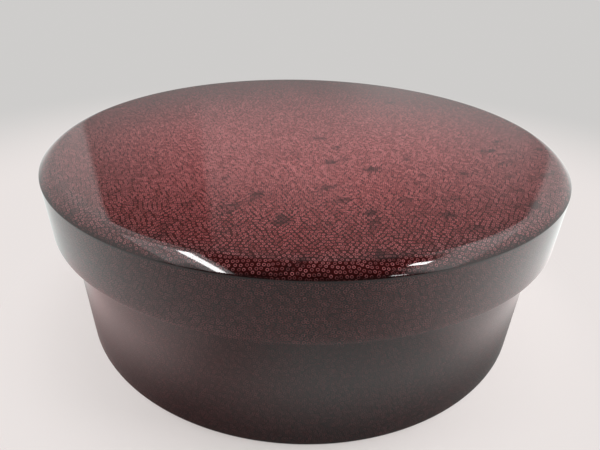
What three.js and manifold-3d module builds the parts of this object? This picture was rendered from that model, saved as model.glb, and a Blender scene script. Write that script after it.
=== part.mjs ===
// Round tea utensil box in lacquered bentwood, with a lid that drops over its rim.
// Millimetres, +Z up. The box stands on z = 0 and its axis is the Z axis.
import * as THREE from "three";
import { mergeVertices, toCreasedNormals } from "three/addons/utils/BufferGeometryUtils.js";
import Module from "manifold-3d";

const wasm = await Module();
wasm.setup();

// Driving dimensions of the box body
const bodyDiameter = 283.8;
const bodyHeight = 96.2; // floor to rim
const bodyOuterHoopThickness = 3.5;
const bodyInnerHoopThickness = 3.5;
const rimRound = 1.2; // rounding of the rim's two edges
const bottomBoardThickness = 6.5;
const footHeight = 3; // recess under the bottom board
const footHoopThickness = 3.5;
const footRound = 1; // rounding of the foot's outer edge

// Driving dimensions of the lid
const lidClearance = 1.4; // radial play between the rim and the lid's inner hoop
const lidOverlap = 24.5; // how far the skirt comes down over the body
const lidInnerHoopThickness = 3;
const lidOuterHoopThickness = 3.4;
const skirtRound = 1.1; // rounding of the skirt's two lower edges
const lidBoardThickness = 9.5; // underside to the inner edge of the shoulder
const shoulderWidth = 8;
const shoulderDrop = 3.95; // inner edge of the shoulder down to the arris
const crownRise = 0.9; // how much the middle of the top stands above the shoulder
const lipEdge = 1.5; // upright edge of the lid board between the arris and the outer hoop

// Driving dimensions of the hidden bamboo pegs
const pegCount = 8; // round each board
const pegDiameter = 1.8;
const pegTipDiameter = 1.4;
const pegLength = 14;
const pegCover = 0.8; // filler and lacquer over the head of a peg
const pegClearance = 0.2;

// Clearances
const glueLine = 0.3; // between pieces that are glued to each other
const seatGap = 0.3; // between the rim and the underside of the lid board

// Facets
const hoopSides = 72;
const pegSides = 12;
const roundSteps = 2; // twice as many on each quarter round of a hoop
const shoulderSteps = 6;
const creaseAngle = THREE.MathUtils.degToRad(25);

// Radii, from the outside of the body inwards and then outwards through the lid
const bodyRadius = bodyDiameter / 2;
const bodyOuterHoopBore = bodyRadius - bodyOuterHoopThickness;
const bottomBoardRadius = bodyOuterHoopBore - glueLine;
const lidInnerHoopBore = bodyRadius + lidClearance;
const lidInnerHoopRadius = lidInnerHoopBore + lidInnerHoopThickness;
const lidOuterHoopBore = lidInnerHoopRadius + glueLine;
const lidRadius = lidOuterHoopBore + lidOuterHoopThickness;

// Heights of the body above the floor
const bottomBoardLow = footHeight + glueLine;
const bottomBoardHigh = bottomBoardLow + bottomBoardThickness;

// Heights of the lid above the underside of its board, which lies just over the rim
const skirtLow = -lidOverlap - seatGap;
const shoulderHigh = lidBoardThickness;
const arris = shoulderHigh - shoulderDrop;
const lipLow = arris - lipEdge;
const lidOuterHoopHigh = lipLow - glueLine;

const lacquerWithRings = { color: 0x4a0c0c, roughness: 0.12, metalness: 0 };
const blackLacquer = { color: 0x120c0b, roughness: 0.2, metalness: 0 };
const bamboo = { color: 0xc8a76a, roughness: 0.65, metalness: 0 };

// A closed profile of radius and height, turned about the Z axis. It runs anticlockwise, with the
// radius to the right and the height upwards.
function turned(profile, curveSteps = roundSteps) {
  const geometry = new THREE.LatheGeometry(profile.getPoints(curveSteps), hoopSides);
  return geometry.rotateX(Math.PI / 2);
}

// The section of a bent hoop. Each corner has its own rounding, and 0 leaves it square.
function hoopSection(bore, radius, low, high, { lowOuter = 0, highOuter = 0, highInner = 0, lowInner = 0 }) {
  const section = new THREE.Path();
  section.moveTo(bore + lowInner, low);
  section.lineTo(radius - lowOuter, low);
  if (lowOuter) section.absarc(radius - lowOuter, low + lowOuter, lowOuter, -Math.PI / 2, 0);
  section.lineTo(radius, high - highOuter);
  if (highOuter) section.absarc(radius - highOuter, high - highOuter, highOuter, 0, Math.PI / 2);
  section.lineTo(bore + highInner, high);
  if (highInner) section.absarc(bore + highInner, high - highInner, highInner, Math.PI / 2, Math.PI);
  section.lineTo(bore, low + lowInner);
  if (lowInner) section.absarc(bore + lowInner, low + lowInner, lowInner, Math.PI, Math.PI * 1.5);
  section.closePath();
  return section;
}

// The lid board's half section: a plug that drops inside the outer hoop, a lip that lies on it, a
// shoulder that curves from level down to a sharp arris, and a top with a slight crown.
function lidBoardSection() {
  const plugRadius = lidOuterHoopBore - glueLine;
  const crownRadius = lidRadius - shoulderWidth;
  const section = new THREE.Path();
  section.moveTo(0, 0);
  section.lineTo(plugRadius, 0);
  section.lineTo(plugRadius, lipLow);
  section.lineTo(lidRadius, lipLow);
  section.lineTo(lidRadius, arris);
  section.quadraticCurveTo(lidRadius - shoulderWidth / 2, shoulderHigh, crownRadius, shoulderHigh);
  section.quadraticCurveTo(crownRadius / 2, shoulderHigh + crownRise, 0, shoulderHigh + crownRise);
  return section;
}

// The bottom board's half section: a plain disc.
function bottomBoardSection() {
  const section = new THREE.Path();
  section.moveTo(0, bottomBoardLow);
  section.lineTo(bottomBoardRadius, bottomBoardLow);
  section.lineTo(bottomBoardRadius, bottomBoardHigh);
  section.lineTo(0, bottomBoardHigh);
  return section;
}

// A closed solid from a geometry, with its shared corners merged.
function solidOf(geometry) {
  const bare = geometry.clone();
  bare.deleteAttribute("normal");
  bare.deleteAttribute("uv");
  const merged = mergeVertices(bare);
  const corners = merged.index.array;
  const triangles = [];
  for (let i = 0; i < corners.length; i += 3) {
    const [a, b, c] = [corners[i], corners[i + 1], corners[i + 2]];
    if (a !== b && b !== c && c !== a) triangles.push(a, b, c);
  }
  return new wasm.Manifold(
    new wasm.Mesh({
      numProp: 3,
      vertProperties: merged.attributes.position.array,
      triVerts: Uint32Array.from(triangles),
    }),
  );
}

function geometryOf(solid) {
  const { vertProperties, triVerts } = solid.getMesh();
  const geometry = new THREE.BufferGeometry();
  geometry.setAttribute("position", new THREE.BufferAttribute(vertProperties, 3));
  geometry.setIndex(new THREE.BufferAttribute(triVerts, 1));
  return geometry;
}

// The angles of one ring of pegs, half a step off the X axis so that they mirror in X and in Y.
function pegAngles() {
  const step = (2 * Math.PI) / pegCount;
  return Array.from({ length: pegCount }, (_, i) => (i + 0.5) * step);
}

// Where a peg's middle lies when its head is covered inside a hoop of this radius.
function pegMiddle(hoopRadius) {
  return hoopRadius - pegCover - pegLength / 2;
}

// Drills the peg holes of one ring out of a geometry.
function drilled(geometry, hoopRadius, height) {
  const holeRadius = pegDiameter / 2 + pegClearance;
  const holeLength = pegLength + 2 * pegClearance;
  let solid = solidOf(geometry);
  for (const angle of pegAngles()) {
    const hole = new THREE.CylinderGeometry(holeRadius, holeRadius, holeLength, pegSides);
    hole.rotateZ(-Math.PI / 2);
    hole.translate(pegMiddle(hoopRadius), 0, height);
    hole.rotateZ(angle);
    solid = solid.subtract(solidOf(hole));
  }
  return geometryOf(solid);
}

function piece(name, geometry, finish) {
  const mesh = new THREE.Mesh(
    toCreasedNormals(geometry, creaseAngle),
    new THREE.MeshStandardMaterial(finish),
  );
  mesh.name = name;
  return mesh;
}

// A ring of tapered pegs driven inwards, each head outermost.
function pegRing(prefix, hoopRadius, height) {
  return pegAngles().map((angle, i) => {
    const peg = new THREE.CylinderGeometry(pegDiameter / 2, pegTipDiameter / 2, pegLength, pegSides);
    peg.rotateZ(-Math.PI / 2);
    const mesh = piece(`${prefix}_${i + 1}`, peg, bamboo);
    const middle = pegMiddle(hoopRadius);
    mesh.position.set(middle * Math.cos(angle), middle * Math.sin(angle), height);
    mesh.rotation.z = angle;
    return mesh;
  });
}

function makeBody() {
  const innerHoopRadius = bodyOuterHoopBore - glueLine;
  const innerHoopBore = innerHoopRadius - bodyInnerHoopThickness;
  const footHoopBore = bottomBoardRadius - footHoopThickness;
  const pegHeight = (bottomBoardLow + bottomBoardHigh) / 2;
  const outerHoop = turned(
    hoopSection(bodyOuterHoopBore, bodyRadius, 0, bodyHeight, { lowOuter: footRound, highOuter: rimRound }),
  );
  const innerHoop = turned(
    hoopSection(innerHoopBore, innerHoopRadius, bottomBoardHigh + glueLine, bodyHeight, { highInner: rimRound }),
  );
  const footHoop = turned(hoopSection(footHoopBore, bottomBoardRadius, 0, footHeight, { lowInner: footRound }));
  const bottomBoard = turned(bottomBoardSection());
  const body = new THREE.Group();
  body.add(
    piece("body_outer_hoop", drilled(outerHoop, bodyRadius, pegHeight), lacquerWithRings),
    piece("body_inner_hoop", innerHoop, blackLacquer),
    piece("bottom_board", drilled(bottomBoard, bodyRadius, pegHeight), blackLacquer),
    piece("foot_hoop", footHoop, blackLacquer),
    ...pegRing("bottom_peg", bodyRadius, pegHeight),
  );
  return body;
}

// The lid is drawn from the underside of its board, and sits over the rim.
function makeLid() {
  const pegHeight = lidOuterHoopHigh / 2;
  const outerHoop = turned(
    hoopSection(lidOuterHoopBore, lidRadius, skirtLow, lidOuterHoopHigh, { lowOuter: skirtRound }),
  );
  const innerHoop = turned(
    hoopSection(lidInnerHoopBore, lidInnerHoopRadius, skirtLow, -glueLine, { lowInner: skirtRound }),
  );
  const board = turned(lidBoardSection(), shoulderSteps);
  const lid = new THREE.Group();
  lid.add(
    piece("lid_board", drilled(board, lidRadius, pegHeight), lacquerWithRings),
    piece("lid_outer_hoop", drilled(outerHoop, lidRadius, pegHeight), lacquerWithRings),
    piece("lid_inner_hoop", innerHoop, blackLacquer),
    ...pegRing("lid_peg", lidRadius, pegHeight),
  );
  lid.position.z = bodyHeight + seatGap;
  return lid;
}

const teaUtensilBox = new THREE.Group();
teaUtensilBox.add(makeBody(), makeLid());

export default teaUtensilBox;
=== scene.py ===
"""Round lacquered tea utensil box: its visible surfaces, their finishes, and a small studio round it.

The file is laid out as an add-on and is run as a script. Lengths are in metres, in the frame of the
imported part: +Z up, the box standing on z = 0 with its axis on Z, and its front towards -Y.
"""
import math

import bpy
import numpy as np
from bpy.props import FloatProperty, FloatVectorProperty, IntProperty, PointerProperty
from mathutils import Matrix, Vector


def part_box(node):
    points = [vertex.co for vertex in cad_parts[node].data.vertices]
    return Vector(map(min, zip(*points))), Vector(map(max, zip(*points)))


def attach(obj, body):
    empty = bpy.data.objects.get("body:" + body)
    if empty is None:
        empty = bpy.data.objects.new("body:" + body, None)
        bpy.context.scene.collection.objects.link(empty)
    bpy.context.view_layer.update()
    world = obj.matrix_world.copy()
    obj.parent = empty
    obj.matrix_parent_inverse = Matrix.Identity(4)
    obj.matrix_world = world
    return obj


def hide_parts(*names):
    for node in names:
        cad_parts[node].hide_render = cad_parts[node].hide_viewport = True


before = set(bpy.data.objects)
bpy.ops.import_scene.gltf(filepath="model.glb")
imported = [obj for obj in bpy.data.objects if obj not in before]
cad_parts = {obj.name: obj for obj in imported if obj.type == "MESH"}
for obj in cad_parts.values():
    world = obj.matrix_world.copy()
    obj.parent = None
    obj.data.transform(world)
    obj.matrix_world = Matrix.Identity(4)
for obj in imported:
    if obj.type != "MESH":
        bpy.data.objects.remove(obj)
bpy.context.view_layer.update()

bl_info = {
    "name": "Lacquered Tea Utensil Box",
    "version": (1, 0, 0),
    "blender": (4, 5, 0),
    "location": "View3D > Sidebar > Tea Box",
    "description": "Builds a round lidded box in ring-patterned lacquer around its packed parts",
    "category": "Add Mesh",
}

MM = 0.001
IMAGE_WIDTH = 600
BACKDROP_SIDES = 96

# Names of the maps and the attribute that the finishes and the bake read
RING_MAP = "RingMap"
BAKE_MAP = "OFBake"
EDGE_GAP = "edge_gap"

# Finishes of a piece, which are the numbers of its material slots
PATTERNED, PLAIN = 0, 1

# Every turned surface starts and ends at the back, so that its seam is out of sight
SEAM_ANGLE = math.pi / 2

# A turned surface is creased where it bends by more than this, and has no step shorter than this
SHARP_ANGLE = math.radians(28)
LEAST_STEP = 0.001 * MM

# Height of a triangle of the lattice of rings, to its side
SIN_60 = math.sin(math.radians(60))

# Places in the bake map. The patterned top is a disc, and its plain part a small disc in a corner. A
# hoop's outside is cut into strips with margins, and its plain part is a thin strip above them
DISC_REACH = 0.488
SPARE_MIDDLE, SPARE_REACH = 0.07, 0.06
STRIP_SIDE, STRIP_EDGE, STRIPS_HIGH = 0.01, 0.02, 0.94
SPARE_LOW, SPARE_HIGH = 0.95, 0.99

# The swirl that bends the lattice of rings: size of its noise, step of its slope, and how far it goes
SWIRL_SIZE, SWIRL_STEP, SWIRL_REACH = 10 * MM, 1 * MM, 6.5 * MM

# Least and greatest radius of a ring, to the mean
RING_SPREAD = (0.95, 1.06)

# Places from front to back on the lid's top between which the rings grow, and between which they darken as
# painted shade
GROWING_SPAN = (-130 * MM, -70 * MM)
SHADED_BACK_SPAN = (-30 * MM, 90 * MM)

# Bare patches. A ring is bare at the first level of a noise and covered at the second, and chance shifts
# each ring a little. What is added to the noise keeps patches rare. On one side of the lid's top, over a
# span, it falls until they are common
PATCH_LEVELS, PATCH_LUCK = (0.2, 0.4), 0.1
PATCHED_SIDE, PATCHED_SPAN = (0.35, -0.94, 0.0), (0.0, 100 * MM)
PATCHES_RARE, PATCHES_COMMON = 0.07, -0.045

# Distances from the edge over which the rings come out of the painted shade of the rim, and over which the
# ground between them comes out of the painted shade of the shoulder
SHADED_RIM_SPAN, SHADED_SHOULDER_SPAN = (0.0, 100 * MM), (8 * MM, 16 * MM)

# Start and end of the fade at an edge and how ragged it is, to its width, and the fade at a hoop's seam
FADE_START, FADE_END, FADE_RAGGED = 0.2, 1.2, 0.7
SEAM_FADE = 0.5 * MM

# Sizes of the lumps in the ring lacquer: its ragged edge, uneven depth, clouded ground and haze
RAGGED_SIZE, UNEVEN_SIZE, CLOUD_SIZE, HAZE_SIZE = 4 * MM, 35 * MM, 4 * MM, 25 * MM

# Sizes of the clouds and the brush marks in the black lacquer and of the bamboo's fibres, and their relief
BLACK_CLOUD_SIZE, BRUSH_SIZE, BRUSH_RELIEF = 18 * MM, 5 * MM, 0.02 * MM
FIBRE_SIZE, FIBRE_RELIEF = 0.35 * MM, 0.05 * MM

# Least strength of the rings' uneven depth, and the dark parts of the ground, the black and the bamboo
UNEVEN_LEAST, DEEP_GROUND, DEEP_BLACK, DARK_FIBRE = 0.93, 0.8, 0.5, 0.55

# Least and greatest roughness of the finishes, what a ring adds, and the lacquers' refractive indices
RING_GLOSS, BLACK_GLOSS, BAMBOO_GLOSS = (0.03, 0.05), (0.12, 0.2), (0.5, 0.7)
RING_ROUGHNESS = 0.02
RING_LACQUER_INDEX, BLACK_LACQUER_INDEX = 1.54, 1.5

# Tints of the paper in the lacquer: its own tint away from the box, and close to it a painted glow of red
# light that the box throws on it
COOL_PAPER, RED_GLOW_PAPER = (0.96, 1.0, 0.98), (1.2, 0.94, 0.92)

# Lamps overhead that only glint in the lacquer: name, place, width and depth, and brightness
GLINTS = (
    ("left_strip", (-0.281, -0.21, 0.60), (0.042, 0.47), 22.0),
    ("left_halo", (-0.295, -0.19, 0.60), (0.13, 0.52), 2.0),
    ("left_panel", (-0.37, -0.16, 0.60), (0.27, 0.56), 1.0),
    ("right_strip_back", (0.333, -0.15, 0.60), (0.07, 0.07), 21.0),
    ("right_strip_front", (0.362, -0.41, 0.60), (0.07, 0.02), 14.0),
    ("right_panel", (0.51, -0.03, 0.60), (0.30, 0.78), 0.6),
)


# Properties

def length(name, description, default):
    """A size in metres."""
    return FloatProperty(name=name, description=description, default=default, unit="LENGTH", precision=5)


def share(name, description, default):
    """A part of a whole, from 0 to 1."""
    return FloatProperty(
        name=name, description=description, default=default, subtype="FACTOR", min=0.0, max=1.0
    )


def angle(name, description, default):
    """An angle in radians, shown in degrees."""
    return FloatProperty(name=name, description=description, default=default, subtype="ANGLE")


def brightness(name, description, default):
    """A lamp's brightness, where 1 is white."""
    return FloatProperty(name=name, description=description, default=default, min=0.0)


def colour(name, description, default):
    """A linear colour."""
    return FloatVectorProperty(
        name=name, description=description, default=default, subtype="COLOR", size=3, min=0.0, max=1.0
    )


class TEABOX_PG_sizes(bpy.types.PropertyGroup):
    """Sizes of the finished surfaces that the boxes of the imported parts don't give."""

    sides: IntProperty(name="Sides", description="Columns round each turned surface", default=288, min=24)
    shoulder_width: length("Shoulder width", "Width of the curved edge of the lid's top", 8 * MM)
    shoulder_drop: length("Shoulder drop", "Fall of the curved edge from the top to the arris", 3.95 * MM)
    crown_rise: length("Crown rise", "Rise of the top's middle above its shoulder", 0.9 * MM)
    arris_round: length("Arris rounding", "Radius that polishing leaves on the arris", 0.35 * MM)
    skirt_round: length("Skirt rounding", "Radius of the lower edges of the lid", 1.1 * MM)
    rim_round: length("Rim rounding", "Radius of the edges of the rim", 1.2 * MM)
    foot_round: length("Foot rounding", "Radius of the edges of the foot", 1.0 * MM)


class TEABOX_PG_lacquer(bpy.types.PropertyGroup):
    """The ring-patterned lacquer and the plain finishes."""

    ring_spacing: length("Ring spacing", "Mean distance between rings", 2.0 * MM)
    ring_radius: length("Ring radius", "Mean radius of a ring, to the middle of its line", 0.61 * MM)
    ring_line: length("Ring line", "Width of the line of a ring", 0.185 * MM)
    ring_jitter: share("Ring jitter", "How far the rings stray from an even lattice", 0.28)
    dull_ring: share("Dullest ring", "Brightness of the dullest rings, to the brightest", 0.45)
    front_size: share("Front ring size", "Radius of the rings at the front of the lid's top", 0.82)
    # Painted shade: the rings at the back of the lid's top are darker
    shaded_back_strength: share("Back strength", "Strength of the rings at the back of the lid's top", 0.68)
    patch_size: length("Patch size", "Size of the bare patches", 11 * MM)
    patch_strength: share("Patch strength", "Strength of the rings and their ground in a bare patch", 0.3)
    ring_relief: length("Ring relief", "Height of the rings in the polished surface", 0.001 * MM)
    arris_fade: length("Arris fade", "Width along the arris over which the rings of the top fade", 4.5 * MM)
    edge_fade: length("Edge fade", "Width along the other edges over which the rings fade", 1.8 * MM)
    ring_colour: colour("Ring", "Line of a ring", (0.99, 0.37, 0.39))
    ground_colour: colour("Ground", "Lacquer between the rings", (0.132, 0.003, 0.003))
    shade_colour: colour("Shade", "Darkest lacquer between the rings", (0.010, 0.0015, 0.0015))
    # Painted shade: the rings at the rim of the lid's top and the ground on its shoulder are darker
    shaded_rim_strength: share("Rim strength", "Strength of the rings at the rim of the lid's top", 0.45)
    shaded_shoulder_ground: share("Shoulder ground", "Strength of the ground between rings on the shoulder", 0.5)
    black_colour: colour("Black lacquer", "Lacquer of the inside and the foot", (0.007, 0.006, 0.006))
    bamboo_colour: colour("Bamboo", "Shaved bamboo of the pegs", (0.55, 0.40, 0.18))
    # Painted shade: the rings and ground of the skirt, and more of the body, are dimmed against the lid's
    # top, as darker copies of one lacquer
    top_strength: share("Top strength", "Strength of the rings on the lid's top", 1.0)
    shaded_skirt_strength: share("Skirt strength", "Strength of the rings on the lid's skirt", 0.21)
    shaded_body_strength: share("Body strength", "Strength of the rings on the body", 0.11)


class TEABOX_PG_stage(bpy.types.PropertyGroup):
    """The studio: floor, backdrop, lamps and camera."""

    floor_colour: colour("Floor", "Pale floor", (0.82, 0.77, 0.755))
    wall_colour: colour("Backdrop", "Pale backdrop above the floor", (0.62, 0.61, 0.60))
    ceiling_colour: colour("Ceiling", "Dim room above the backdrop", (0.06, 0.06, 0.06))
    wall_radius: length("Backdrop radius", "Distance of the backdrop from the axis", 0.95)
    wall_height: length("Backdrop height", "Height of the backdrop", 1.75)
    cove_radius: length("Cove radius", "Radius of the bend from floor to backdrop", 0.2)
    left_soft: brightness("Left softbox", "Brightness of the broad lamp on the left", 4.2)
    right_soft: brightness("Right softbox", "Brightness of the broad lamp on the right", 6.0)
    soft_size: length("Softbox size", "Width and height of each broad lamp", 0.5)
    soft_aside: length("Softbox offset", "Distance of the broad lamps to either side", 0.5)
    soft_ahead: length("Softbox distance", "Distance of the broad lamps in front of the axis", 20 * MM)
    soft_high: length("Softbox height", "Height of the broad lamps", 0.38)
    camera_back: length("Camera distance", "Distance of the camera in front of the axis", 279.75 * MM)
    camera_high: length("Camera height", "Height of the camera above the floor", 199.06 * MM)
    camera_aside: length("Camera offset", "Offset of the camera to the right", 3.87 * MM)
    camera_turn: angle("Turn", "Turn of the camera to the left", 0.021)
    camera_dip: angle("Dip", "How far the camera looks down", 0.521)
    camera_roll: angle("Roll", "Turn of the camera about its own axis", 0.025)
    focal_pixels: FloatProperty(
        name="Focal length",
        description="Focal length in pixels of an image 600 pixels wide",
        default=462.85,
        subtype="PIXEL",
    )


# Outlines

def line(start, end, steps=1):
    """Points evenly spaced along a straight stretch."""
    along = np.linspace(0.0, 1.0, steps + 1)[:, None]
    return np.asarray(start) * (1.0 - along) + np.asarray(end) * along


def arc(centre, radius, start, end, steps=8):
    """Points centre + radius * (cos a, sin a), for an angle a that runs from start to end in degrees."""
    turn = np.radians(np.linspace(start, end, steps + 1))
    return np.asarray(centre) + radius * np.column_stack([np.cos(turn), np.sin(turn)])


def chained(*stretches):
    """Joins stretches of (points, finish) end to end: returns the points, and the finish of each step.

    Steps without length, such as those of a corner with no rounding, drop out.
    """
    points = np.concatenate([stretches[0][0][:1]] + [stretch[1:] for stretch, _ in stretches])
    steps = [len(stretch) - 1 for stretch, _ in stretches]
    finishes = np.repeat([coat for _, coat in stretches], steps)
    moved = np.hypot(*np.diff(points, axis=0).T) > LEAST_STEP
    return points[np.concatenate([[True], moved])], finishes[moved]


def skirted_hoop(bore, radius, low, high, low_round, high_round):
    """Outline of a hoop that shows its outside: rings up the outside, black on the rest.

    It runs anticlockwise, from the bottom of the bore out and up. The two outer corners are quarter
    circles, and a rounding of 0 leaves one square.
    """
    return chained(
        (line((bore, low), (radius - low_round, low)), PLAIN),
        (arc((radius - low_round, low + low_round), low_round, -90, 0), PATTERNED),
        (line((radius, low + low_round), (radius, high - high_round), steps=12), PATTERNED),
        (arc((radius - high_round, high - high_round), high_round, 0, 90), PLAIN),
        (line((radius - high_round, high), (bore, high)), PLAIN),
        (line((bore, high), (bore, low)), PLAIN),
    )


def lining_hoop(bore, radius, low, high, low_round, high_round):
    """Outline of a hoop that shows its bore, plain all over, with quarter circles on its inner corners."""
    return chained(
        (line((bore + low_round, low), (radius, low)), PLAIN),
        (line((radius, low), (radius, high)), PLAIN),
        (line((radius, high), (bore + high_round, high)), PLAIN),
        (arc((bore + high_round, high - high_round), high_round, 90, 180), PLAIN),
        (line((bore, high - high_round), (bore, low + low_round), steps=6), PLAIN),
        (arc((bore + low_round, low + low_round), low_round, 180, 270), PLAIN),
    )


def arris_slope(sizes):
    """Slope of the shoulder where it ends at the arris, as an angle."""
    return math.atan2(2 * sizes.shoulder_drop, sizes.shoulder_width)


def arris_foot(sizes, high):
    """Height at which the arris's rounding meets the upright skirt, on a top whose middle is at high."""
    reach = sizes.arris_round * math.tan((math.pi / 2 - arris_slope(sizes)) / 2)
    return high - sizes.crown_rise - sizes.shoulder_drop - reach


def lid_board_outline(sizes, plug, radius, low, high):
    """Half outline of the lid's board, from the middle of its underside to the middle of its top.

    The crown is a parabola that falls by crown_rise from the axis to the shoulder. The shoulder is a
    steeper parabola: at a share x of its width it lies x * x * shoulder_drop below the crown's edge.
    Where it meets the upright skirt, the arris is an arc that touches both.
    """
    crown_edge = radius - sizes.shoulder_width
    shoulder_top = high - sizes.crown_rise
    joint = arris_foot(sizes, high)
    turn = np.linspace(0.0, math.pi / 2 - arris_slope(sizes), 9)
    rounding = np.column_stack([
        radius - sizes.arris_round * (1 - np.cos(turn)),
        joint + sizes.arris_round * np.sin(turn),
    ])
    x = np.linspace((rounding[-1, 0] - crown_edge) / sizes.shoulder_width, 0.0, 17)[:, None]
    fall = x * x * sizes.shoulder_drop
    shoulder = np.hstack([crown_edge + x * sizes.shoulder_width, shoulder_top - fall])
    y = np.linspace(1.0, 0.0, 25)[:, None]
    crown = np.hstack([y * crown_edge, high - y * y * sizes.crown_rise])
    return chained(
        (line((0.0, low), (plug, low), steps=4), PLAIN),
        (line((plug, low), (plug, joint)), PLAIN),
        (line((plug, joint), (radius, joint)), PLAIN),
        (rounding, PATTERNED),
        (shoulder, PATTERNED),
        (crown, PATTERNED),
    )


def disc_outline(radius, low, high):
    """Half outline of a plain disc, from the middle of its underside to the middle of its top."""
    return chained(
        (line((0.0, low), (radius, low), steps=4), PLAIN),
        (line((radius, low), (radius, high)), PLAIN),
        (line((radius, high), (0.0, high), steps=4), PLAIN),
    )


def backdrop_outline(radius, height, cove):
    """Half outline of a floor that sweeps up into a round wall, from the top of the wall to the axis."""
    return chained(
        (line((radius, height), (radius, cove), steps=4), PLAIN),
        (arc((radius - cove, cove), cove, 0, -90, steps=16), PLAIN),
        (line((radius - cove, 0.0), (0.0, 0.0), steps=8), PLAIN),
    )


# Turned surfaces

class Turning:
    """An outline of (radius, height) carried round the Z axis.

    The corner of row i and column j is (r cos a, r sin a, z), with r and z of outline point i, and with
    a = seam + 2 pi j / sides. A row on the axis is a single corner, a pole, and the faces beside it are
    triangles. An outline that ends where it starts makes a closed ring.
    """

    def __init__(self, outline, finishes, sides):
        self.outline, self.finishes, self.sides = outline, finishes, sides
        rows = len(outline)
        steps = np.hypot(*np.diff(outline, axis=0).T)
        self.along = np.concatenate([[0.0], np.cumsum(steps)])
        closed = np.allclose(outline[0], outline[-1])
        on_axis = outline[:, 0] == 0
        turn = SEAM_ANGLE + 2 * math.pi * np.arange(sides) / sides
        circle = np.stack([np.cos(turn), np.sin(turn), np.ones(sides)], axis=-1)
        self.own = np.ones((rows, sides), dtype=bool)
        self.own[on_axis, 1:] = False
        self.own[-1] &= not closed
        self.places = (outline[:, None, [0, 0, 1]] * circle)[self.own]
        number = np.cumsum(self.own).reshape(rows, sides) - 1
        number[on_axis] = number[on_axis, :1]
        if closed:
            number[-1] = number[0]
        step, column = np.meshgrid(np.arange(rows - 1), np.arange(sides), indexing="ij")
        row = step[..., None] + [0, 0, 1, 1]
        edge = column[..., None] + [0, 1, 1, 0]
        used = np.ones(row.shape, dtype=bool)
        used[on_axis[:-1], :, 1] = False
        used[on_axis[1:], :, 3] = False
        self.face_sizes = used.sum(axis=-1).ravel()
        self.corners = number[row, edge % sides][used]
        self.corner_row = row[used]
        self.corner_edge = edge[used]
        self.corner_column = np.broadcast_to(column[..., None], row.shape)[used]
        self.corner_finish = np.broadcast_to(finishes[step][..., None], row.shape)[used]

    def mesh(self, name):
        """The surface as a smooth mesh with its creases marked."""
        mesh = bpy.data.meshes.new(name)
        mesh.vertices.add(len(self.places))
        mesh.vertices.foreach_set("co", self.places.ravel())
        mesh.loops.add(len(self.corners))
        mesh.loops.foreach_set("vertex_index", self.corners)
        mesh.polygons.add(len(self.face_sizes))
        mesh.polygons.foreach_set("loop_start", np.cumsum(self.face_sizes) - self.face_sizes)
        mesh.polygons.foreach_set("material_index", np.repeat(self.finishes, self.sides))
        mesh.polygons.foreach_set("use_smooth", np.ones(len(self.face_sizes), dtype=bool))
        mesh.update(calc_edges=True)
        mesh.validate()
        mesh.set_sharp_from_angle(angle=SHARP_ANGLE)
        return mesh

    def patterned_span(self):
        """Distances along the outline at which the patterned stretch starts and ends."""
        steps = np.flatnonzero(self.finishes == PATTERNED)
        return self.along[steps[0]], self.along[steps[-1] + 1]

    def polar(self, distance):
        """Flat places at a distance from the middle, in the direction of each face corner."""
        turn = SEAM_ANGLE + 2 * math.pi * self.corner_edge / self.sides
        return distance[:, None] * np.column_stack([np.cos(turn), np.sin(turn)])

    def disc_ring_map(self):
        """Flat map in metres: each corner lies as far from the middle as along the top's outline."""
        return self.polar((self.along[-1] - self.along)[self.corner_row])

    def disc_bake_map(self):
        """The patterned top as a disc that fills the square, the plain part as a small one in a corner."""
        start, end = self.patterned_span()
        patterned = (self.corner_finish == PATTERNED)[:, None]
        along = self.along[self.corner_row]
        top = 0.5 + self.polar((end - along) * DISC_REACH / (end - start))
        rest = SPARE_MIDDLE + self.polar(along * SPARE_REACH / start)
        return np.where(patterned, top, rest)

    def hoop_ring_map(self):
        """Flat map in metres: the way round from the front, at the hoop's radius, and the way up."""
        start, _ = self.patterned_span()
        round_way = self.outline[:, 0].max() * 2 * math.pi * (self.corner_edge / self.sides - 0.5)
        return np.column_stack([round_way, self.along[self.corner_row] - start])

    def hoop_bake_map(self, strips):
        """The patterned outside cut into strips above each other, and the rest in a thin last one."""
        start, end = self.patterned_span()
        patterned = self.corner_finish == PATTERNED
        along = self.along[self.corner_row]
        strip = self.corner_column * strips // self.sides
        wide, high = 1 - 2 * STRIP_SIDE, 1 - 2 * STRIP_EDGE
        across = STRIP_SIDE + wide * (self.corner_edge * strips / self.sides - strip)
        up = (strip + STRIP_EDGE + high * (along - start) / (end - start)) * STRIPS_HIGH / strips
        rest_along = np.where(along > (start + end) / 2, along - end + start, along)
        rest_length = self.along[-1] - end + start
        rest_across = STRIP_SIDE + wide * self.corner_edge / self.sides
        rest_up = SPARE_LOW + (SPARE_HIGH - SPARE_LOW) * rest_along / rest_length
        outside = np.column_stack([across, up])
        return np.where(patterned[:, None], outside, np.column_stack([rest_across, rest_up]))

    def edge_gap(self):
        """Distance of each corner of the mesh from the nearer end of the patterned stretch."""
        start, end = self.patterned_span()
        gap = np.abs(self.along - start)
        if self.outline[-1, 0] > 0:
            gap = np.minimum(gap, np.abs(self.along - end))
        return np.broadcast_to(gap[:, None], self.own.shape)[self.own]


def add_map(mesh, name, places):
    """Adds a UV map with a place for each face corner."""
    layer = mesh.uv_layers.new(name=name)
    layer.data.foreach_set("uv", np.ascontiguousarray(places, dtype=np.float32).ravel())


def add_gap(mesh, gaps):
    """Adds the distance from the edge to each corner of the mesh."""
    mesh.attributes.new(EDGE_GAP, "FLOAT", "POINT").data.foreach_set("value", gaps.astype(np.float32))


def bore_of(node):
    """The bore of a hoop: the least distance of its corners from the Z axis."""
    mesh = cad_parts[node].data
    places = np.empty(3 * len(mesh.vertices), dtype=np.float32)
    mesh.vertices.foreach_get("co", places)
    return float(np.hypot(places[0::3], places[1::3]).min())


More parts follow.
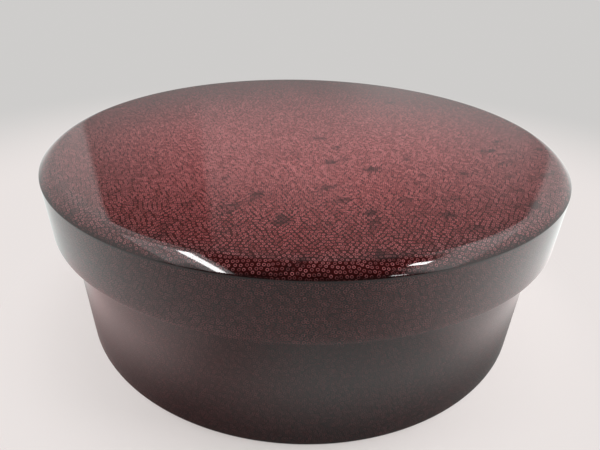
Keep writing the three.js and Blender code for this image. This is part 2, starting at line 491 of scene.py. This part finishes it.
def add_piece(name, mesh, finishes, body, node):
    """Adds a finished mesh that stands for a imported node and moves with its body."""
    for coat in finishes:
        mesh.materials.append(coat)
    piece = bpy.data.objects.new(name, mesh)
    bpy.context.scene.collection.objects.link(piece)
    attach(piece, body)
    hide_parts(node)
    return piece


# Finishes

class Wiring:
    """Adds nodes to a new material and joins them."""

    def __init__(self, name):
        self.material = bpy.data.materials.new(name)
        self.material.use_nodes = True
        self.tree = self.material.node_tree
        self.tree.nodes.clear()

    def add(self, kind, inputs=None, **settings):
        """One node. An input that is a socket is joined, and any other value is set."""
        node = self.tree.nodes.new(kind)
        for name, value in settings.items():
            setattr(node, name, value)
        for name, value in (inputs or {}).items():
            self.give(node.inputs[name], value)
        return node

    def give(self, socket, value):
        """Joins or sets one input."""
        if isinstance(value, bpy.types.NodeSocket):
            self.tree.links.new(value, socket)
        else:
            socket.default_value = value

    def maths(self, operation, *values):
        """The result of a Math node."""
        return self.add("ShaderNodeMath", dict(enumerate(values)), operation=operation).outputs[0]

    def vectors(self, operation, *values):
        """The result of a Vector Math node."""
        return self.add("ShaderNodeVectorMath", dict(enumerate(values)), operation=operation).outputs[0]

    def vector_number(self, operation, *values):
        """The number that a Vector Math node gives."""
        node = self.add("ShaderNodeVectorMath", dict(enumerate(values)), operation=operation)
        return node.outputs["Value"]

    def ramp(self, value, low, high, start=0.0, end=1.0):
        """A smooth step from start to end while the value goes from low to high."""
        inputs = {"Value": value, "From Min": low, "From Max": high, "To Min": start, "To Max": end}
        return self.add("ShaderNodeMapRange", inputs, interpolation_type="SMOOTHSTEP").outputs[0]

    def spread(self, noise, start=0.0, end=1.0):
        """A smooth step from start to end over the values that a noise mostly has."""
        return self.ramp(noise, 0.3, 0.7, start, end)

    def between(self, factor, first, second):
        """A number between two."""
        node = self.add("ShaderNodeMix", {"Factor": factor, 2: first, 3: second}, data_type="FLOAT")
        return node.outputs[0]

    def blend(self, factor, first, second):
        """A colour between two."""
        node = self.add("ShaderNodeMix", {"Factor": factor, 6: first, 7: second}, data_type="RGBA")
        return node.outputs[2]

    def noise(self, place, size, detail, dimensions="3D"):
        """Noise whose lumps are about as large as size."""
        inputs = {"Vector": place, "Scale": 1.0 / size, "Detail": detail}
        return self.add("ShaderNodeTexNoise", inputs, noise_dimensions=dimensions).outputs["Fac"]

    def surface(self, inputs, height, relief):
        """The Principled shader, with a bump from a height, joined to the output."""
        bump = self.add("ShaderNodeBump", {"Height": height, "Distance": relief, "Strength": 1.0})
        shader = self.add("ShaderNodeBsdfPrincipled", {**inputs, "Normal": bump.outputs["Normal"]})
        self.add("ShaderNodeOutputMaterial", {"Surface": shader.outputs["BSDF"]})
        return self.material


def opaque(tint, strength=1.0):
    """A colour at some strength, with its alpha."""
    return (*(strength * part for part in tint), 1.0)


def swirl(wire, place):
    """A displacement that turns and shears the pattern but keeps its areas.

    It is the slope of a noise, turned by 90 degrees.
    """
    level, ahead, above = (
        wire.noise(wire.vectors("ADD", place, move), SWIRL_SIZE, 0.0, "2D")
        for move in ((0.0, 0.0, 0.0), (SWIRL_STEP, 0.0, 0.0), (0.0, SWIRL_STEP, 0.0))
    )
    slope = {"X": wire.maths("SUBTRACT", above, level), "Y": wire.maths("SUBTRACT", level, ahead)}
    turned = wire.add("ShaderNodeCombineXYZ", slope).outputs[0]
    return wire.vectors("MULTIPLY", turned, (SWIRL_REACH, SWIRL_REACH, 0.0))


def nearest_ring(wire, flat, lacquer):
    """The ring next to a place on the flat map.

    The rings stand on a lattice of triangles, jittered and bent by the swirl. The place is first taken
    back through the swirl, in two rounds. A Voronoi pattern then finds the ring, in the lattice's own two
    directions, 60 degrees apart: a place (x, y) has x sin 60 - y / 2 and y in them. Returns the cell's
    position, its random numbers, how far back its ring lies, and the distance from the ring's middle.
    """
    nearly = wire.vectors("SUBTRACT", flat, swirl(wire, flat))
    unswirled = wire.vectors("SUBTRACT", flat, swirl(wire, nearly))
    across = wire.vector_number("DOT_PRODUCT", unswirled, (SIN_60, -0.5, 0.0))
    along = wire.vector_number("DOT_PRODUCT", unswirled, (0.0, 1.0, 0.0))
    lattice = wire.add("ShaderNodeCombineXYZ", {"X": across, "Y": along}).outputs[0]
    pitch = lacquer.ring_spacing * SIN_60
    inputs = {"Vector": lattice, "Scale": 1.0 / pitch, "Randomness": lacquer.ring_jitter}
    cell = wire.add("ShaderNodeTexVoronoi", inputs, voronoi_dimensions="2D", feature="F1").outputs
    luck = wire.add("ShaderNodeSeparateColor", {"Color": cell["Color"]}).outputs
    across, along, _ = wire.add("ShaderNodeSeparateXYZ", {"Vector": cell["Position"]}).outputs
    seed_x = wire.maths("MULTIPLY", wire.maths("MULTIPLY_ADD", along, 0.5, across), 1.0 / SIN_60)
    seed = wire.add("ShaderNodeCombineXYZ", {"X": seed_x, "Y": along}).outputs[0]
    distance = wire.vector_number("DISTANCE", flat, wire.vectors("ADD", seed, swirl(wire, seed)))
    return cell["Position"], luck, along, distance


def ring_lacquer(name, lacquer, strength, fade, shaded_rim_strength=1.0, shaded_edge_ground=1.0, half_girth=None):
    """Polished lacquer full of small rings.

    The rings differ in size and brightness, thin out in bare patches, and fade at the edges of the piece. A
    strength dims the rings and their ground of each piece, as painted shade on the skirt and more on the
    body.
    The lid's top, which has no girth, has smaller rings at the front, where most of the patches lie. As
    painted shade, its rings darken towards the back and towards its rim, and its ground darkens on the
    shoulder. On a hoop no ring crosses the seam, half a girth from the front.
    """
    wire = Wiring(name)
    on_top = half_girth is None
    flat = wire.add("ShaderNodeUVMap", uv_map=RING_MAP).outputs["UV"]
    middle, luck, along, distance = nearest_ring(wire, flat, lacquer)

    least, most = (part * lacquer.ring_radius for part in RING_SPREAD)
    radius = wire.ramp(luck["Red"], 0.0, 1.0, least, most)
    if on_top:
        radius = wire.maths("MULTIPLY", radius, wire.ramp(along, *GROWING_SPAN, lacquer.front_size, 1.0))
    off_line = wire.maths("ABSOLUTE", wire.maths("SUBTRACT", distance, radius))
    ring = wire.ramp(off_line, lacquer.ring_line, 0.0)

    rarity = PATCHES_RARE
    if on_top:
        aside = wire.vector_number("DOT_PRODUCT", flat, PATCHED_SIDE)
        rarity = wire.ramp(aside, *PATCHED_SPAN, PATCHES_RARE, PATCHES_COMMON)
    cover = wire.maths("ADD", wire.noise(middle, lacquer.patch_size, 1.0, "2D"), rarity)
    cover = wire.maths("MULTIPLY_ADD", luck["Green"], PATCH_LUCK, cover)
    cover = wire.ramp(cover, *PATCH_LEVELS, lacquer.patch_strength, 1.0)
    kept = cover
    if not on_top:
        round_way = wire.add("ShaderNodeSeparateXYZ", {"Vector": flat}).outputs["X"]
        off_front = wire.maths("ABSOLUTE", round_way)
        kept = wire.maths("MULTIPLY", cover, wire.ramp(off_front, half_girth, half_girth - SEAM_FADE))
    bright = wire.ramp(luck["Blue"], 0.0, 1.0, lacquer.dull_ring, 1.0)
    shown = wire.maths("MULTIPLY", wire.maths("MULTIPLY", ring, kept), bright)

    gap = wire.add("ShaderNodeAttribute", attribute_name=EDGE_GAP).outputs["Fac"]
    ragged = wire.noise(middle, RAGGED_SIZE, 2.0, "2D")
    ragged = wire.maths("MULTIPLY_ADD", ragged, FADE_RAGGED * fade, gap)
    inside = wire.ramp(ragged, FADE_START * fade, FADE_END * fade)
    uneven = wire.spread(wire.noise(flat, UNEVEN_SIZE, 2.0, "2D"), UNEVEN_LEAST, 1.0)
    # Painted shade: the rings darken towards the rim of the lid's top; the uneven depth is the lacquer's
    # own
    rim = wire.maths("MULTIPLY", uneven, wire.ramp(gap, *SHADED_RIM_SPAN, shaded_rim_strength, 1.0))
    glow = wire.maths("MULTIPLY", inside, rim)
    # Painted shade: on the lid's top the rings darken towards the back
    if on_top:
        glow = wire.maths("MULTIPLY", glow, wire.ramp(along, *SHADED_BACK_SPAN, 1.0, lacquer.shaded_back_strength))

    shade = opaque(lacquer.shade_colour)
    # Painted shade: the strength dims the ground and the rings, on the skirt and more on the body
    ground = opaque(lacquer.ground_colour, strength)
    deep = opaque(lacquer.ground_colour, DEEP_GROUND * strength)
    cloud = wire.ramp(wire.noise(flat, CLOUD_SIZE, 3.0, "2D"), 0.2, 0.6)
    # Painted shade: the ground darkens on the shoulder of the lid's top; in the bare patches it darkens as
    # the lacquer's own
    full = wire.maths("MULTIPLY", cover, wire.ramp(gap, *SHADED_SHOULDER_SPAN, shaded_edge_ground, 1.0))
    depth = wire.blend(full, shade, wire.blend(cloud, deep, ground))
    tint = wire.blend(glow, shade, wire.blend(shown, depth, opaque(lacquer.ring_colour, strength)))

    haze = wire.spread(wire.noise(flat, HAZE_SIZE, 3.0, "2D"), *RING_GLOSS)
    roughness = wire.maths("MULTIPLY_ADD", shown, RING_ROUGHNESS, haze)
    inputs = {"Base Color": tint, "Roughness": roughness, "IOR": RING_LACQUER_INDEX}
    return wire.surface(inputs, shown, lacquer.ring_relief)


def black_lacquer(lacquer):
    """Plain black lacquer with the faint waviness of a brushed coat."""
    wire = Wiring("black_lacquer")
    place = wire.add("ShaderNodeTexCoord").outputs["Object"]
    cloud = wire.spread(wire.noise(place, BLACK_CLOUD_SIZE, 3.0))
    deep = opaque(lacquer.black_colour, DEEP_BLACK)
    tint = wire.blend(cloud, deep, opaque(lacquer.black_colour))
    brushed = wire.noise(place, BRUSH_SIZE, 4.0)
    roughness = wire.spread(brushed, *BLACK_GLOSS)
    inputs = {"Base Color": tint, "Roughness": roughness, "IOR": BLACK_LACQUER_INDEX}
    return wire.surface(inputs, brushed, BRUSH_RELIEF)


def bamboo(lacquer):
    """Shaved bamboo: pale, with darker fibres."""
    wire = Wiring("bamboo")
    place = wire.add("ShaderNodeTexCoord").outputs["Object"]
    fibre = wire.noise(place, FIBRE_SIZE, 3.0)
    dark = opaque(lacquer.bamboo_colour, DARK_FIBRE)
    tint = wire.blend(wire.ramp(fibre, 0.35, 0.6), dark, opaque(lacquer.bamboo_colour))
    inputs = {"Base Color": tint, "Roughness": wire.spread(fibre, *BAMBOO_GLOSS)}
    return wire.surface(inputs, fibre, FIBRE_RELIEF)


def mirrored_wall(wire, bearing, off_back, height, right_gain):
    """Tones that lacquer mirrors in the wall, by bearing in radians and by height in metres.

    Bearings run from the back and grow to the right. The back is grey, and darker in a strip on its left.
    The sides are lighter and brighten upwards. The front is dark above. All round, the wall darkens under
    the ceiling.
    """
    off_middle = wire.maths("ABSOLUTE", wire.maths("SUBTRACT", bearing, math.radians(1)))
    side = wire.ramp(off_middle, math.radians(35.6), math.radians(36.8))
    front = wire.ramp(off_back, math.radians(118), math.radians(130))
    past_strip = wire.ramp(bearing, math.radians(-19), math.radians(-17))
    strip_tone = wire.ramp(height, 0.25, 0.7, 0.42, 0.14)
    left_tone = wire.ramp(height, 0.2, 0.45, 0.39, 0.48)
    left_tone = wire.maths("MULTIPLY", left_tone, wire.ramp(height, 0.5, 0.9, 1.0, 0.55))
    right_tone = wire.ramp(height, 0.3, 0.65, 0.60, 0.32)
    right_tone = wire.maths("MULTIPLY", right_tone, wire.ramp(bearing, 0.55, 0.635, 1.0, 0.75))
    back_tone = wire.between(wire.ramp(bearing, 0.0, 0.25), left_tone, right_tone)
    back_tone = wire.between(past_strip, strip_tone, back_tone)
    side_tone = wire.maths("MULTIPLY", wire.ramp(height, 0.3, 0.9, 0.76, 1.08), right_gain)
    front_tone = wire.ramp(height, 0.3, 0.8, 0.4, 0.05)
    tone = wire.between(front, wire.between(side, back_tone, side_tone), front_tone)
    return wire.maths("MULTIPLY", tone, wire.ramp(height, 1.2, 1.75, 1.0, 0.1))


def mirrored_floor(wire, x, reach, off_back, near, left_front, right_gain):
    """Tones that lacquer mirrors in the floor, with painted shade towards the front and a painted shadow
    close to the box.
    """
    far_tone = wire.between(wire.ramp(off_back, math.radians(110), math.radians(172)), right_gain, 0.55)
    right_tone = wire.ramp(x, 0.11, 0.16, 0.82, 1.17)
    left_tone = wire.ramp(x, -0.05, -0.13, 0.5, 0.93)
    # Painted shadow of the box on the floor, as the lacquer mirrors it
    contact_shadow = wire.ramp(reach, 0.14, 0.18, 0.25, 1.0)
    near_tone = wire.maths("MULTIPLY", wire.between(left_front, right_tone, left_tone), contact_shadow)
    return wire.between(near, far_tone, near_tone)


def studio_paper(stage):
    """Matt paper that is floor and wall in one.

    To the camera it has even tones, and round the box it keeps the shadow. Lacquer mirrors it in the tones
    of a studio that is lit from both sides, most from the right, with painted shade in front of the box and
    close to it, and a painted glow of red light that the box throws on the paper close by.
    """
    wire = Wiring("studio_paper")
    place = wire.add("ShaderNodeTexCoord").outputs["Object"]
    x, y, height = wire.add("ShaderNodeSeparateXYZ", {"Vector": place}).outputs
    reach = wire.vector_number("LENGTH", wire.add("ShaderNodeCombineXYZ", {"X": x, "Y": y}).outputs[0])
    bearing = wire.maths("ARCTAN2", x, y)
    off_back = wire.maths("ABSOLUTE", bearing)
    near = wire.ramp(reach, 0.25, 0.18)
    left_front = wire.maths("MULTIPLY", wire.ramp(x, 0.03, -0.075), wire.ramp(y, 0.04, -0.04))
    right_gain = wire.ramp(bearing, 0.5, 1.2, 1.0, 1.35)
    floor_tone = mirrored_floor(wire, x, reach, off_back, near, left_front, right_gain)
    wall_tone = mirrored_wall(wire, bearing, off_back, height, right_gain)
    mirrored_tone = wire.between(wire.ramp(height, 0.0, 0.15), floor_tone, wall_tone)

    # Painted light: red light that the box throws on the paper close by, as the lacquer mirrors it
    red_glow_left = wire.maths("MULTIPLY", left_front, wire.ramp(y, -0.01, -0.07))
    red_glow_right = wire.ramp(x, 0.1, 0.14, 0.0, 0.4)
    painted_red_glow = wire.maths("MULTIPLY", near, wire.maths("MAXIMUM", red_glow_left, red_glow_right))
    mirrored_tint = wire.blend(painted_red_glow, opaque(COOL_PAPER), opaque(RED_GLOW_PAPER))

    tint = wire.blend(wire.ramp(reach, 0.3, 0.6), opaque(stage.floor_colour), opaque(stage.wall_colour))
    paper = wire.add("ShaderNodeBsdfDiffuse", {"Color": tint}).outputs[0]
    rays = wire.add("ShaderNodeLightPath").outputs
    mirror = rays["Is Glossy Ray"]
    shown = wire.blend(mirror, tint, mirrored_tint)
    level = wire.between(mirror, 1.0, mirrored_tone)
    glow = wire.add("ShaderNodeEmission", {"Color": shown, "Strength": level}).outputs[0]
    seen = wire.maths("MULTIPLY", rays["Is Camera Ray"], wire.ramp(reach, 0.14, 0.2, 0.45, 1.0))
    glowing = wire.maths("ADD", seen, wire.maths("ADD", mirror, rays["Is Transmission Ray"]))
    surface = wire.add("ShaderNodeMixShader", {0: glowing, 1: paper, 2: glow}).outputs[0]
    wire.add("ShaderNodeOutputMaterial", {"Surface": surface})
    return wire.material


def finish(name, make, *choices):
    """A material by name, made when it is first asked for."""
    return bpy.data.materials.get(name) or make(*choices)


# Operators

class TEABOX_OT_stage(bpy.types.Operator):
    """Set up the floor and backdrop, the lamps, the dim room above them and the camera"""

    bl_idname = "teabox.stage"
    bl_label = "Studio"

    def execute(self, context):
        stage = context.scene.teabox_stage
        self.add_backdrop(context, stage)
        self.add_lamps(context, stage)
        self.add_camera(context, stage)
        world = bpy.data.worlds.new("dim_room")
        world.use_nodes = True
        world.node_tree.nodes["Background"].inputs["Color"].default_value = opaque(stage.ceiling_colour)
        context.scene.world = world
        context.scene.view_settings.view_transform = "Standard"
        return {"FINISHED"}

    def add_backdrop(self, context, stage):
        """A round sheet of paper that is floor and wall in one."""
        outline, finishes = backdrop_outline(stage.wall_radius, stage.wall_height, stage.cove_radius)
        mesh = Turning(outline, finishes, BACKDROP_SIDES).mesh("backdrop")
        mesh.materials.append(studio_paper(stage))
        backdrop = bpy.data.objects.new("backdrop", mesh)
        context.scene.collection.objects.link(backdrop)

    def add_lamps(self, context, stage):
        """Two softboxes that light the box, and lamps overhead that only glint in the lacquer."""
        broad = (stage.soft_size, stage.soft_size)
        for name, aside, level in (
            ("left_softbox", -stage.soft_aside, stage.left_soft),
            ("right_softbox", stage.soft_aside, stage.right_soft),
        ):
            place = Vector((aside, -stage.soft_ahead, stage.soft_high))
            lamp = self.add_lamp(context, name, place, broad, level)
            lamp.rotation_quaternion = (-place).to_track_quat("-Z", "Y")
            lamp.visible_glossy = False
        for name, place, size, level in GLINTS:
            lamp = self.add_lamp(context, name, place, size, level)
            lamp.visible_diffuse = False

    def add_lamp(self, context, name, place, size, level):
        """One rectangular lamp that faces down, and that the camera doesn't see."""
        light = bpy.data.lights.new(name, "AREA")
        light.shape = "RECTANGLE"
        light.size, light.size_y = size
        light.energy = math.pi * level * size[0] * size[1]
        lamp = bpy.data.objects.new(name, light)
        lamp.location = place
        lamp.rotation_mode = "QUATERNION"
        lamp.visible_camera = False
        context.scene.collection.objects.link(lamp)
        return lamp

    def add_camera(self, context, stage):
        """A camera that looks down at the box from close in front of it."""
        turn, dip, roll = stage.camera_turn, stage.camera_dip, stage.camera_roll
        forward = Vector((-math.sin(turn) * math.cos(dip), math.cos(turn) * math.cos(dip), -math.sin(dip)))
        level = forward.cross(Vector((0.0, 0.0, 1.0))).normalized()
        upright = level.cross(forward)
        across = math.cos(roll) * level + math.sin(roll) * upright
        up = math.cos(roll) * upright - math.sin(roll) * level
        data = bpy.data.cameras.new("camera")
        data.sensor_fit = "HORIZONTAL"
        data.lens = stage.focal_pixels * data.sensor_width / IMAGE_WIDTH
        data.clip_start = 10 * MM
        camera = bpy.data.objects.new("camera", data)
        camera.matrix_world = Matrix((across, up, -forward)).transposed().to_4x4()
        camera.location = (stage.camera_aside, -stage.camera_back, stage.camera_high)
        context.scene.collection.objects.link(camera)
        context.scene.camera = camera


class TEABOX_OT_lid_board(bpy.types.Operator):
    """Build the lid's crowned top, with its curved shoulder and crisp arris"""

    bl_idname = "teabox.lid_board"
    bl_label = "Lid Board"

    def execute(self, context):
        sizes, lacquer = context.scene.teabox_sizes, context.scene.teabox_lacquer
        low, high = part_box("lid_board")
        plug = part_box("lid_inner_hoop")[1].x
        turning = Turning(*lid_board_outline(sizes, plug, high.x, low.z, high.z), sizes.sides)
        mesh = turning.mesh("lid_top")
        add_map(mesh, RING_MAP, turning.disc_ring_map())
        add_map(mesh, BAKE_MAP, turning.disc_bake_map())
        add_gap(mesh, turning.edge_gap())
        rings = ring_lacquer(
            "ring_lacquer_top", lacquer, lacquer.top_strength, lacquer.arris_fade,
            lacquer.shaded_rim_strength, lacquer.shaded_shoulder_ground,
        )
        black = finish("black_lacquer", black_lacquer, lacquer)
        add_piece("lid_top", mesh, (rings, black), "lid", "lid_board")
        return {"FINISHED"}


class TEABOX_OT_outer_hoops(bpy.types.Operator):
    """Build the lid's skirt and the body's wall, which carry the rings on their outside"""

    bl_idname = "teabox.outer_hoops"
    bl_label = "Outer Hoops"

    def execute(self, context):
        sizes, lacquer = context.scene.teabox_sizes, context.scene.teabox_lacquer
        low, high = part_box("lid_outer_hoop")
        joint = arris_foot(sizes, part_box("lid_board")[1].z)
        skirt = skirted_hoop(bore_of("lid_outer_hoop"), high.x, low.z, joint, sizes.skirt_round, 0.0)
        self.add_hoop(
            context, "lid_skirt", skirt, "lid", "lid_outer_hoop", lacquer.shaded_skirt_strength, strips=6
        )
        low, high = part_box("body_outer_hoop")
        wall = skirted_hoop(
            bore_of("body_outer_hoop"), high.x, low.z, high.z, sizes.foot_round, sizes.rim_round
        )
        self.add_hoop(
            context, "body_wall", wall, "box", "body_outer_hoop", lacquer.shaded_body_strength, strips=3
        )
        return {"FINISHED"}

    def add_hoop(self, context, name, outline, body, node, strength, strips):
        """One hoop with rings outside and black inside."""
        lacquer = context.scene.teabox_lacquer
        turning = Turning(*outline, context.scene.teabox_sizes.sides)
        mesh = turning.mesh(name)
        add_map(mesh, RING_MAP, turning.hoop_ring_map())
        add_map(mesh, BAKE_MAP, turning.hoop_bake_map(strips))
        add_gap(mesh, turning.edge_gap())
        half_girth = math.pi * turning.outline[:, 0].max()
        rings = ring_lacquer(
            "ring_lacquer_" + name, lacquer, strength, lacquer.edge_fade, half_girth=half_girth
        )
        black = finish("black_lacquer", black_lacquer, lacquer)
        add_piece(name, mesh, (rings, black), body, node)


class TEABOX_OT_lining_hoops(bpy.types.Operator):
    """Build the black hoops inside the lid, inside the body and under the bottom board"""

    bl_idname = "teabox.lining_hoops"
    bl_label = "Lining Hoops"

    def execute(self, context):
        sizes = context.scene.teabox_sizes
        skirt_bore = bore_of("lid_outer_hoop")
        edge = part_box("lid_inner_hoop")[0].z
        under_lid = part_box("lid_board")[0].z
        lining = lining_hoop(bore_of("lid_inner_hoop"), skirt_bore, edge, under_lid, sizes.skirt_round, 0.0)
        self.add_hoop(context, "lid_lining", lining, "lid", "lid_inner_hoop")
        wall_bore = bore_of("body_outer_hoop")
        floor_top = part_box("bottom_board")[1].z
        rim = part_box("body_inner_hoop")[1].z
        lining = lining_hoop(bore_of("body_inner_hoop"), wall_bore, floor_top, rim, 0.0, sizes.rim_round)
        self.add_hoop(context, "body_lining", lining, "box", "body_inner_hoop")
        low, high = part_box("foot_hoop")
        foot = lining_hoop(bore_of("foot_hoop"), wall_bore, low.z, high.z, sizes.foot_round, 0.0)
        self.add_hoop(context, "foot_ring", foot, "box", "foot_hoop")
        return {"FINISHED"}

    def add_hoop(self, context, name, outline, body, node):
        """One hoop, black all over."""
        lacquer = context.scene.teabox_lacquer
        mesh = Turning(*outline, context.scene.teabox_sizes.sides).mesh(name)
        black = finish("black_lacquer", black_lacquer, lacquer)
        add_piece(name, mesh, (black, black), body, node)


class TEABOX_OT_bottom_board(bpy.types.Operator):
    """Build the disc that closes the bottom of the body"""

    bl_idname = "teabox.bottom_board"
    bl_label = "Bottom Board"

    def execute(self, context):
        floor_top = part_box("bottom_board")[1].z
        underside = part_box("foot_hoop")[1].z
        outline = disc_outline(bore_of("body_outer_hoop"), underside, floor_top)
        mesh = Turning(*outline, context.scene.teabox_sizes.sides).mesh("bottom_disc")
        black = finish("black_lacquer", black_lacquer, context.scene.teabox_lacquer)
        add_piece("bottom_disc", mesh, (black, black), "box", "bottom_board")
        return {"FINISHED"}


class TEABOX_OT_pegs(bpy.types.Operator):
    """Give the hidden pegs their bamboo"""

    bl_idname = "teabox.pegs"
    bl_label = "Pegs"

    def execute(self, context):
        cane = finish("bamboo", bamboo, context.scene.teabox_lacquer)
        for name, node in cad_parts.items():
            if "_peg_" in name:
                node.material_slots[0].material = cane
        return {"FINISHED"}


BUILD_ORDER = (
    TEABOX_OT_stage,
    TEABOX_OT_lid_board,
    TEABOX_OT_outer_hoops,
    TEABOX_OT_lining_hoops,
    TEABOX_OT_bottom_board,
    TEABOX_OT_pegs,
)


class TEABOX_PT_sidebar(bpy.types.Panel):
    """The box's properties and the operators that build it"""

    bl_idname = "TEABOX_PT_sidebar"
    bl_label = "Tea Box"
    bl_space_type = "VIEW_3D"
    bl_region_type = "UI"
    bl_category = "Tea Box"

    def draw(self, context):
        scene = context.scene
        for group in (scene.teabox_sizes, scene.teabox_lacquer, scene.teabox_stage):
            column = self.layout.box().column()
            for name in group.bl_rna.properties.keys():
                if name not in {"rna_type", "name"}:
                    column.prop(group, name)
        for operator in BUILD_ORDER:
            self.layout.operator(operator.bl_idname)


GROUPS = {
    "teabox_sizes": TEABOX_PG_sizes,
    "teabox_lacquer": TEABOX_PG_lacquer,
    "teabox_stage": TEABOX_PG_stage,
}
CLASSES = (*GROUPS.values(), *BUILD_ORDER, TEABOX_PT_sidebar)


def register():
    """Registers the classes and gives the scene its property groups."""
    for item in CLASSES:
        bpy.utils.register_class(item)
    for name, group in GROUPS.items():
        setattr(bpy.types.Scene, name, PointerProperty(type=group))


def unregister():
    """Takes the property groups and the classes away again."""
    for name in GROUPS:
        delattr(bpy.types.Scene, name)
    for item in reversed(CLASSES):
        bpy.utils.unregister_class(item)


def main():
    """Builds the box in its studio."""
    register()
    bpy.ops.teabox.stage()
    bpy.ops.teabox.lid_board()
    bpy.ops.teabox.outer_hoops()
    bpy.ops.teabox.lining_hoops()
    bpy.ops.teabox.bottom_board()
    bpy.ops.teabox.pegs()


if __name__ == "__main__":
    main()
